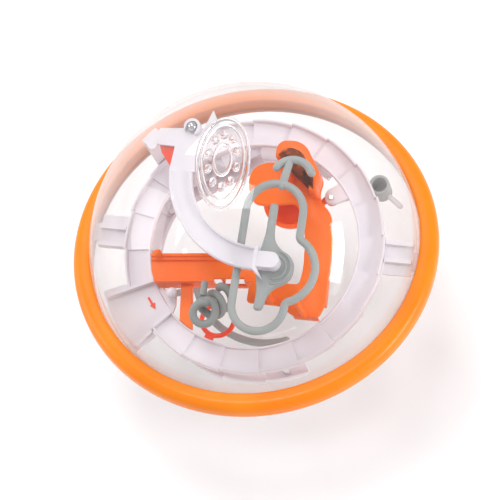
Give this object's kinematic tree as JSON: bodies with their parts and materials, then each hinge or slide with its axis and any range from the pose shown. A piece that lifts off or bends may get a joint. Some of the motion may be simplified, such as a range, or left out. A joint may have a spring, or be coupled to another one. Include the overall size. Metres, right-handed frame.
{
  "type": "ball maze puzzle",
  "caption": "Hand-held clear ball with an orange grip ring and a coloured marble maze inside: stepped track, high slide, grey rails, corkscrew and channel.",
  "frame": {"origin": "centre of the ball, in the plane where the two domes meet", "axes": "+Z through the poles of the domes, towards the dome with the high slide; +X along the right arm that carries the maze; +Y away from the near side"},
  "size_m": [0.2, 0.2, 0.18],
  "materials": {
    "orange_plastic": "glossy moulded orange plastic",
    "red_plastic": "glossy orange-red plastic",
    "white_plastic": "glossy moulded white plastic",
    "grey_plastic": "satin light grey plastic",
    "dark_grey_plastic": "satin mid grey plastic",
    "clear_plastic": "clear polished plastic",
    "screw_steel": "zinc plated steel",
    "marble_steel": "polished steel"
  },
  "bodies": {
    "ball": {"ring_upper": "orange_plastic", "ring_lower": "orange_plastic", "ring_screws": "screw_steel", "dome_upper": "clear_plastic", "dome_lower": "clear_plastic", "arm_left": "white_plastic", "arm_right": "white_plastic", "track_ring": "white_plastic", "start_deck": "white_plastic", "start_arrow": "red_plastic", "start_peg": "white_plastic", "platform": "white_plastic", "marble_cup": "white_plastic", "high_slide": "white_plastic", "slide_boss": "white_plastic", "side_fin": "white_plastic", "wedge": "red_plastic", "platform_leg": "white_plastic", "cloud_rail": "grey_plastic", "inner_rail": "grey_plastic", "corkscrew": "dark_grey_plastic", "corkscrew_post": "dark_grey_plastic", "orange_channel": "orange_plastic", "channel_peg": "orange_plastic", "orange_post": "orange_plastic", "orange_deck": "orange_plastic", "orange_hood": "orange_plastic", "orange_hoop": "red_plastic", "track_screws": "screw_steel", "lower_track": "white_plastic", "lower_posts": "white_plastic", "lower_scoop": "orange_plastic", "lower_chute": "white_plastic", "lower_rail": "grey_plastic", "grey_cup": "dark_grey_plastic", "stop_peg": "white_plastic"},
    "marble": {"marble": "marble_steel"}
  },
  "joints": [
    {"name": "marble_roll", "type": "hinge", "parent": "ball", "child": "marble", "pos_m": [0.011, 0.01799, 0.05244], "axis": [0, -0.2079, 0.9781], "range_deg": [0, 110]}
  ]
}
